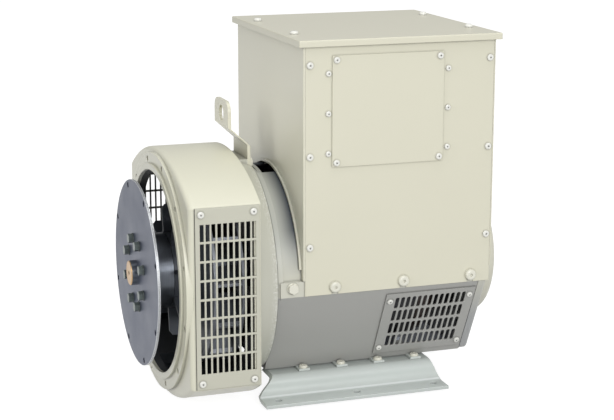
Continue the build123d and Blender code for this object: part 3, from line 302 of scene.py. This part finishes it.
def makeTurnedSteel():  # rings about the shaft line, as a lathe leaves, and a cloudy stain
    group, given, out = newGroup("turnedSteel", lathe["inputs"], ("Colour", "Roughness", "Normal"))
    x, y, z = splitPlace(group)
    turnedPlace = addNode(group, "CombineXYZ", {0: shaftRadius(group, y, z), 1: x}).outputs[0]
    rings = noiseNode(group, turnedPlace, lathe["ringScale"], lathe["ringDetail"])
    stain = noiseNode(group, objectPlace(group), lathe["stainScale"], lathe["stainDetail"])
    streak = swing(group, rings, given["Streak"])
    cloud = swing(group, stain, given["Stain"])
    level = mathNode(group, "ADD", mathNode(group, "ADD", streak, cloud), 1.0)
    feed(group, out["Colour"], scaleColour(group, given["Colour"], level))
    feed(group, out["Roughness"], mathNode(group, "ADD", given["Rough"], cloud, clamp=True))
    bump = {"Strength": lathe["ringStrength"], "Distance": lathe["ringDepth"], "Height": rings}
    feed(group, out["Normal"], addNode(group, "Bump", bump).outputs[0])
    return group


space = {
    "inputs": {"FromX": 0.0, "ToX": 1.0, "Radius": 1.0, "HalfWidth": 1.0, "HalfHeight": 1.0, "Crown": 0.0,
               "Lean": 0.0, "WallReach": 1.0},
}


def makeInsideSpace():  # 1 within a span of X, a radius, a width, a crowned height and a leaning wall
    group, given, out = newGroup("insideSpace", space["inputs"], ("Mask",))
    x, y, z = splitPlace(group)
    wide = mathNode(group, "ABSOLUTE", y)
    crown = mathNode(group, "MULTIPLY", squared(group, y), given["Crown"])
    high = mathNode(group, "ADD", mathNode(group, "ABSOLUTE", z), crown)
    outward = mathNode(group, "MULTIPLY", wide, mathNode(group, "COSINE", given["Lean"]))
    upward = mathNode(group, "MULTIPLY", z, mathNode(group, "SINE", given["Lean"]))
    limits = {"ToX": x, "Radius": shaftRadius(group, y, z), "HalfWidth": wide, "HalfHeight": high,
              "WallReach": mathNode(group, "SUBTRACT", outward, upward)}
    mask = mathNode(group, "GREATER_THAN", x, given["FromX"])
    for label, value in limits.items():
        mask = mathNode(group, "MULTIPLY", mask, mathNode(group, "LESS_THAN", value, given[label]))
    feed(group, out["Mask"], mask)
    return group


paintFilm = makePaintFilm()
turnedSteel = makeTurnedSteel()
insideSpace = makeInsideSpace()
creviceShade = makeCreviceShade()
ringFade = makeRingFade()
belowHeight = makeBelowHeight()
castSpeck = makeCastSpeck()
print("shader groups made")


def newFinish(name, metallic=0.0, coat=0.0):
    mat = bpy.data.materials.new(name)
    mat.use_nodes = True
    shader = mat.node_tree.nodes["Principled BSDF"]
    shader.inputs["Metallic"].default_value = metallic
    shader.inputs["Coat Weight"].default_value = coat
    shader.inputs["Coat Roughness"].default_value = coatRough
    return mat, mat.node_tree, shader


def placeGroup(tree, group, **values):
    return addNode(tree, "Group", values, node_tree=group).outputs


def maskOf(tree, group, **values):
    return placeGroup(tree, group, **values)["Mask"]


def lowMask(tree, spec):  # 1 below a height
    return maskOf(tree, belowHeight, Height=spec["height"], Blend=spec["blend"])


def bendMask(tree, spec):  # 1 between two heights
    high, low = (maskOf(tree, belowHeight, Height=spec[end], Blend=spec["blend"])
                 for end in ("top", "bottom"))
    return mathNode(tree, "SUBTRACT", high, low, clamp=True)


def tabMask(tree, spec):  # 1 below a height and outside a half width
    middle = maskOf(tree, insideSpace, HalfWidth=spec["halfWidth"], **anyX)
    return mathNode(tree, "MULTIPLY", lowMask(tree, spec), mathNode(tree, "SUBTRACT", 1.0, middle))


def coatedSurface(tree, spec, colour):  # the paint film, with painted highlights on its arrises and painted shade in its corners
    skin = placeGroup(tree, paintFilm, Colour=colour, Mottle=spec["mottle"], Rough=spec["rough"],
                      GrainScale=spec["grain"], GrainDepth=spec["depth"], EdgeRound=spec["edge"],
                      EdgeLight=spec["edgeLight"])
    shade = placeGroup(tree, creviceShade, Colour=skin["Colour"], Reach=spec["seam"], Depth=spec["creviceShadeDepth"],
                       WideReach=spec["wideReach"], WideDepth=spec["wide"])
    return shade["Colour"], skin["Roughness"], skin["Normal"]


def joinShader(tree, shader, colour, rough, normal):
    for label, value in (("Base Color", colour), ("Roughness", rough), ("Normal", normal)):
        feed(tree, shader.inputs[label], value)


def paintedFinish(name, paint):
    spec = {**paintDefaults, **paint}
    mat, tree, shader = newFinish(name, coat=spec["coat"])
    colour = spec["colour"]
    # painted shade: a darker colour below a height
    if "lower" in spec:
        colour = mixColour(tree, lowMask(tree, spec["lower"]), colour, spec["lower"]["colour"])
    colour, rough, normal = coatedSurface(tree, spec, colour)
    # painted shade: darker tones about the shaft line, within spans of X
    for fade, shadeTone in spec["shadeFades"]:
        colour = mixColour(tree, maskOf(tree, ringFade, **fade), colour, shadeTone, "MULTIPLY")
    # painted highlight: a bright line between two heights
    if "bend" in spec:
        colour = mixColour(tree, bendMask(tree, spec["bend"]), colour, spec["bend"]["colour"])
    if "tab" in spec:
        colour = mixColour(tree, tabMask(tree, spec["tab"]), colour, spec["tab"]["colour"])
    # painted glints: white specks on the cast skin
    if "specks" in spec:
        colour = mixColour(tree, maskOf(tree, castSpeck, **spec["specks"]), colour, white)
    for seam in spec["seams"]:
        colour = mixColour(tree, maskOf(tree, insideSpace, **seam), colour, spec["seamTone"], "MULTIPLY")
    # painted shade: rooms inside take a near-black colour, and where a lit floor is given, painted light low
    # down
    for inner in spec["spaces"]:
        mask = maskOf(tree, insideSpace, **inner)
        dark = spec["insideShade"]
        if "litFloor" in spec:
            dark = mixColour(tree, lowMask(tree, spec["litFloor"]), dark, spec["litFloor"]["colour"])
        colour = mixColour(tree, mask, colour, dark)
        rough = mathNode(tree, "MAXIMUM", rough, mathNode(tree, "MULTIPLY", mask, spec["insideRough"]))
    joinShader(tree, shader, colour, rough, normal)
    return mat


def turnedFinish(name, spec):
    mat, tree, shader = newFinish(name, metallic=spec["metallic"])
    steel = placeGroup(tree, turnedSteel, Colour=spec["colour"], Rough=spec["rough"], Streak=spec["streak"],
                       Stain=spec["stain"])
    colour = steel["Colour"]
    if "cap" in spec:
        face = maskOf(tree, insideSpace, **{**anyX, "ToX": spec["cap"]["before"]})
        colour = mixColour(tree, face, colour, spec["cap"]["colour"])
    if "rim" in spec:
        rim = spec["rim"]
        core = maskOf(tree, insideSpace, Radius=rim["radius"], **anyX)
        colour = mixColour(tree, core, rim["colour"], colour)
        for start in rim["lines"]:
            line = maskOf(tree, insideSpace, FromX=start, ToX=start + rim["lineWidth"])
            colour = mixColour(tree, line, colour, rim["lineColour"])
    joinShader(tree, shader, colour, steel["Roughness"], steel["Normal"])
    return mat


def plainFinish(name, plain):
    spec = {**plainDefaults, **plain}
    mat, tree, shader = newFinish(name, metallic=spec["metallic"])
    colour, rough, normal = coatedSurface(tree, spec, spec["colour"])
    # painted light: a lighter outer rim, where light reaches the fan's blade tips
    if "rim" in spec:
        core = maskOf(tree, insideSpace, Radius=spec["rim"]["radius"], **anyX)
        colour = mixColour(tree, core, spec["rim"]["colour"], colour)
    joinShader(tree, shader, colour, rough, normal)
    return mat


# edgeLight is a painted highlight on the arrises, and seam, wideReach, wide and their depths set painted
# shade in crevices and wide corners
paintDefaults = {
    "edge": 0.0012, "edgeLight": 0.3, "seam": 0.004, "creviceShadeDepth": 0.75, "wideReach": 0.03, "wide": 0.25,
    "shadeFades": (), "seams": (), "seamTone": (0.16, 0.16, 0.16), "spaces": (), "insideRough": 0.8,
}

plainDefaults = {
    "metallic": 0.0, "mottle": 0.12, "grain": 500.0, "depth": 0.00002, "edge": 0.0006, "edgeLight": 0.35,
    "seam": 0.0035, "creviceShadeDepth": 0.9, "wideReach": 0.01, "wide": 0.0,
}

# spaces are rooms inside, given a painted shade of near black, and the fades are painted shade, deeper tones
# near the shaft line
paints = {
    "casting": {
        "colour": (0.70, 0.69, 0.56), "mottle": 0.05, "rough": 0.36, "grain": 420.0, "depth": 0.00016,
        "coat": 0.2, "edge": 0.0024, "edgeLight": 0.5, "insideShade": (0.020, 0.024, 0.030),
        # specks: painted glints on the collar's cast skin
        "specks": {"FromX": 0.162, "ToX": 0.1762, "Size": 620.0, "Cut": 0.56},
        "seams": [{"FromX": 0.1762, "ToX": 0.1775}],
        "spaces": [{"FromX": 0.0158, "ToX": 0.1292, "HalfWidth": 0.2166, "HalfHeight": 0.2285, "Crown": 1.17},
                   {"FromX": 0.0015, "ToX": 0.1765, "Radius": 0.1945}],
        # painted shade on the collar
        "shadeFades": [({"FromX": 0.1375, "ToX": 0.178, "Radius": 0.30, "Fade": 0.1}, (0.75, 0.76, 0.80))],
    },
    "box": {
        "colour": (0.685, 0.668, 0.54), "mottle": 0.035, "rough": 0.38, "grain": 900.0, "depth": 0.00003,
        "coat": 0.25, "creviceShadeDepth": 0.55, "wide": 0.12,
    },
    "frame": {
        "colour": (0.62, 0.615, 0.53), "mottle": 0.05, "rough": 0.40, "grain": 500.0, "depth": 0.00008,
        "coat": 0.2, "wide": 0.1, "insideShade": (0.018, 0.018, 0.02),
        # below the rails the frame's sides take painted shade, a greyer copy of the frame paint
        "lower": {"height": -0.0172, "blend": 0.0004, "colour": (0.385, 0.385, 0.365)},
        "tab": {"height": -0.1774, "blend": 0.0004, "halfWidth": 0.112, "colour": (0.60, 0.64, 0.61)},
        "litFloor": {"height": -0.135, "blend": 0.012, "colour": (0.62, 0.66, 0.74)},
        "seams": [{"FromX": 0.1768, "ToX": 0.1779}],
        "spaces": [{"FromX": 0.1775, "ToX": 0.5745, "Radius": 0.1885, "HalfWidth": 0.199,
                    "HalfHeight": 0.1875, "Lean": 0.48869, "WallReach": 0.1842}],
        # painted shade on the band between the collar and the box, darkest next to the box
        "shadeFades": [({"FromX": 0.176, "ToX": 0.230, "Radius": 0.30, "Fade": 0.1, "LowZ": 0.0},
                   (0.76, 0.78, 0.82)),
                  ({"FromX": 0.189, "ToX": 0.230, "Radius": 0.30, "Fade": 0.1, "LowZ": 0.02, "FadeX": 0.030},
                   (0.15, 0.17, 0.22))],
    },
    "bracket": {
        "colour": (0.66, 0.65, 0.55), "mottle": 0.05, "rough": 0.42, "grain": 420.0, "depth": 0.00012,
        "coat": 0.2, "wide": 0.15,
    },
    "screen": {
        "colour": (0.55, 0.545, 0.455), "mottle": 0.04, "rough": 0.40, "grain": 800.0, "depth": 0.00004,
        "coat": 0.2, "wide": 0.1, "seams": [{"FromX": 0.0, "ToX": 0.0168}],
    },
    "screw": {
        "colour": (0.80, 0.80, 0.75), "mottle": 0.05, "rough": 0.28, "grain": 900.0, "depth": 0.00002,
        "coat": 0.3, "seam": 0.0035, "creviceShadeDepth": 0.95, "wide": 0.0,
    },
    # a lighter copy of the box paint: painted light on the end panel, with painted shade about its arch
    "endPanelLit": {
        "colour": (0.745, 0.73, 0.60), "mottle": 0.035, "rough": 0.38, "grain": 900.0, "depth": 0.00003,
        "coat": 0.25, "creviceShadeDepth": 0.55, "wide": 0.10,
        "shadeFades": [({"FromX": 0.20, "ToX": 0.2262, "Radius": 0.2045, "Fade": 0.020, "LowZ": 0.02},
                   (0.90, 0.91, 0.93))],
    },
    "bolt": {
        "colour": (0.74, 0.73, 0.63), "mottle": 0.04, "rough": 0.30, "grain": 900.0, "depth": 0.00002,
        "coat": 0.3, "creviceShadeDepth": 0.0, "wide": 0.15,
    },
    "foot": {
        "colour": (0.585, 0.63, 0.605), "mottle": 0.08, "rough": 0.36, "grain": 600.0, "depth": 0.00005,
        "coat": 0.2, "edge": 0.0016, "edgeLight": 0.45,
        # painted highlight: a bright line along the bend of the foot
        "bend": {"bottom": -0.2172, "top": -0.2150, "blend": 0.0008, "colour": (0.76, 0.80, 0.79)},
    },
}
# painted shade on the bracket, growing darker downwards
bracketShadedBelow = {"height": 0.02, "blend": 0.12, "colour": (0.38, 0.39, 0.39)}

steels = {
    "disc": {
        "colour": (0.095, 0.110, 0.155), "rough": 0.42, "metallic": 0.75, "streak": 0.12, "stain": 0.22,
        "rim": {"radius": 0.1758, "colour": (0.66, 0.68, 0.70), "lines": (-0.03865, -0.03745, -0.03625),
                "lineWidth": 0.0005, "lineColour": (0.02, 0.02, 0.025)},  # lines: the joints of the plates
    },
    "shaft": {
        "colour": (0.21, 0.23, 0.265), "rough": 0.34, "metallic": 0.9, "streak": 0.3, "stain": 0.25,
        "cap": {"before": -0.0515, "colour": (0.50, 0.335, 0.175)},  # the copper-toned end face
    },
}

plains = {
    "zinc": {"colour": (0.52, 0.55, 0.52), "rough": 0.34, "metallic": 0.8},
    "boltZinc": {"colour": (0.17, 0.20, 0.19), "rough": 0.36, "metallic": 0.6},
    "fan": {"colour": (0.10, 0.112, 0.132), "rough": 0.42, "metallic": 0.3,
            # rim: painted light on the outer blades
            "rim": {"radius": 0.170, "colour": (0.30, 0.32, 0.36)}},
    "laminations": {"colour": (0.045, 0.045, 0.05), "rough": 0.5, "metallic": 0.4},
    "winding": {"colour": (0.035, 0.022, 0.018), "rough": 0.35},
    "brass": {"colour": (0.60, 0.42, 0.16), "rough": 0.3, "metallic": 1.0},
    "moulding": {"colour": (0.03, 0.03, 0.035), "rough": 0.45},
    "heatSink": {"colour": (0.6, 0.61, 0.63), "rough": 0.35, "metallic": 0.9},
    "bearing": {"colour": (0.6, 0.6, 0.62), "rough": 0.18, "metallic": 1.0},
}

finishes = {
    "casting_paint": paintedFinish("castingPaint", paints["casting"]),
    "box_paint": paintedFinish("boxPaint", paints["box"]),
    "frame_paint": paintedFinish("framePaint", paints["frame"]),
    "foot_steel": paintedFinish("footPaint", paints["foot"]),
    "disc_steel": turnedFinish("discSteel", steels["disc"]),
    "shaft_steel": turnedFinish("shaftSteel", steels["shaft"]),
    "zinc": plainFinish("zincPlate", plains["zinc"]),
    "fan_alloy": plainFinish("fanCasting", plains["fan"]),
    "laminations": plainFinish("coreSheets", plains["laminations"]),
    "winding": plainFinish("windingVarnish", plains["winding"]),
    "brass": plainFinish("brassStuds", plains["brass"]),
    "moulding": plainFinish("blackMoulding", plains["moulding"]),
    "heat_sink": plainFinish("plainAlloy", plains["heatSink"]),
    "bearing_steel": plainFinish("groundSteel", plains["bearing"]),
}

# pieces that have a finish of their own, and not their slot's
ownFinishes = {
    "outlet_screen_left": paintedFinish("screenPaint", paints["screen"]),
    "box_end_panel_de": paintedFinish("endPanelLitPaint", paints["endPanelLit"]),
    "coupling_bolts": plainFinish("boltZinc", plains["boltZinc"]),
    "box_lid_screws": paintedFinish("screwPaint", paints["screw"]),
    "saddle_bolts_left": paintedFinish("boltPaint", paints["bolt"]),
    "nde_bracket": paintedFinish("bracketPaint", {**paints["bracket"], "lower": bracketShadedBelow}),
    "nde_end_cover": paintedFinish("coverPaint", paints["bracket"]),
}
ownFinishes["outlet_screen_right"] = ownFinishes["outlet_screen_left"]
for nodeName in nodes:
    if nodeName.endswith(("screws", "screws_left", "screws_right")):
        ownFinishes[nodeName] = ownFinishes["box_lid_screws"]
    elif nodeName.startswith(("saddle_bolts", "foot_bolts", "lifting_lug_de_bolts", "lifting_lug_nde_bolts")):
        ownFinishes[nodeName] = ownFinishes["saddle_bolts_left"]
print("finishes made")


def paintNodes():
    slots = {entry["node"]: entry["material_slot"] for entry in frame["record"]["subparts"]}
    for name, obj in nodes.items():
        finish = ownFinishes.get(name, finishes[slots[name]])
        if not obj.data.materials:
            obj.data.materials.append(finish)
        for i in range(len(obj.data.materials)):
            obj.data.materials[i] = finish
    print("finishes given to", len(nodes), "nodes")


makeWorld()
makeFloor()
for lampName in ("key", "side", "top"):
    aimLamp(lampName + "Lamp", studio[lampName])
makeCamera()
print("studio ready")
paintNodes()
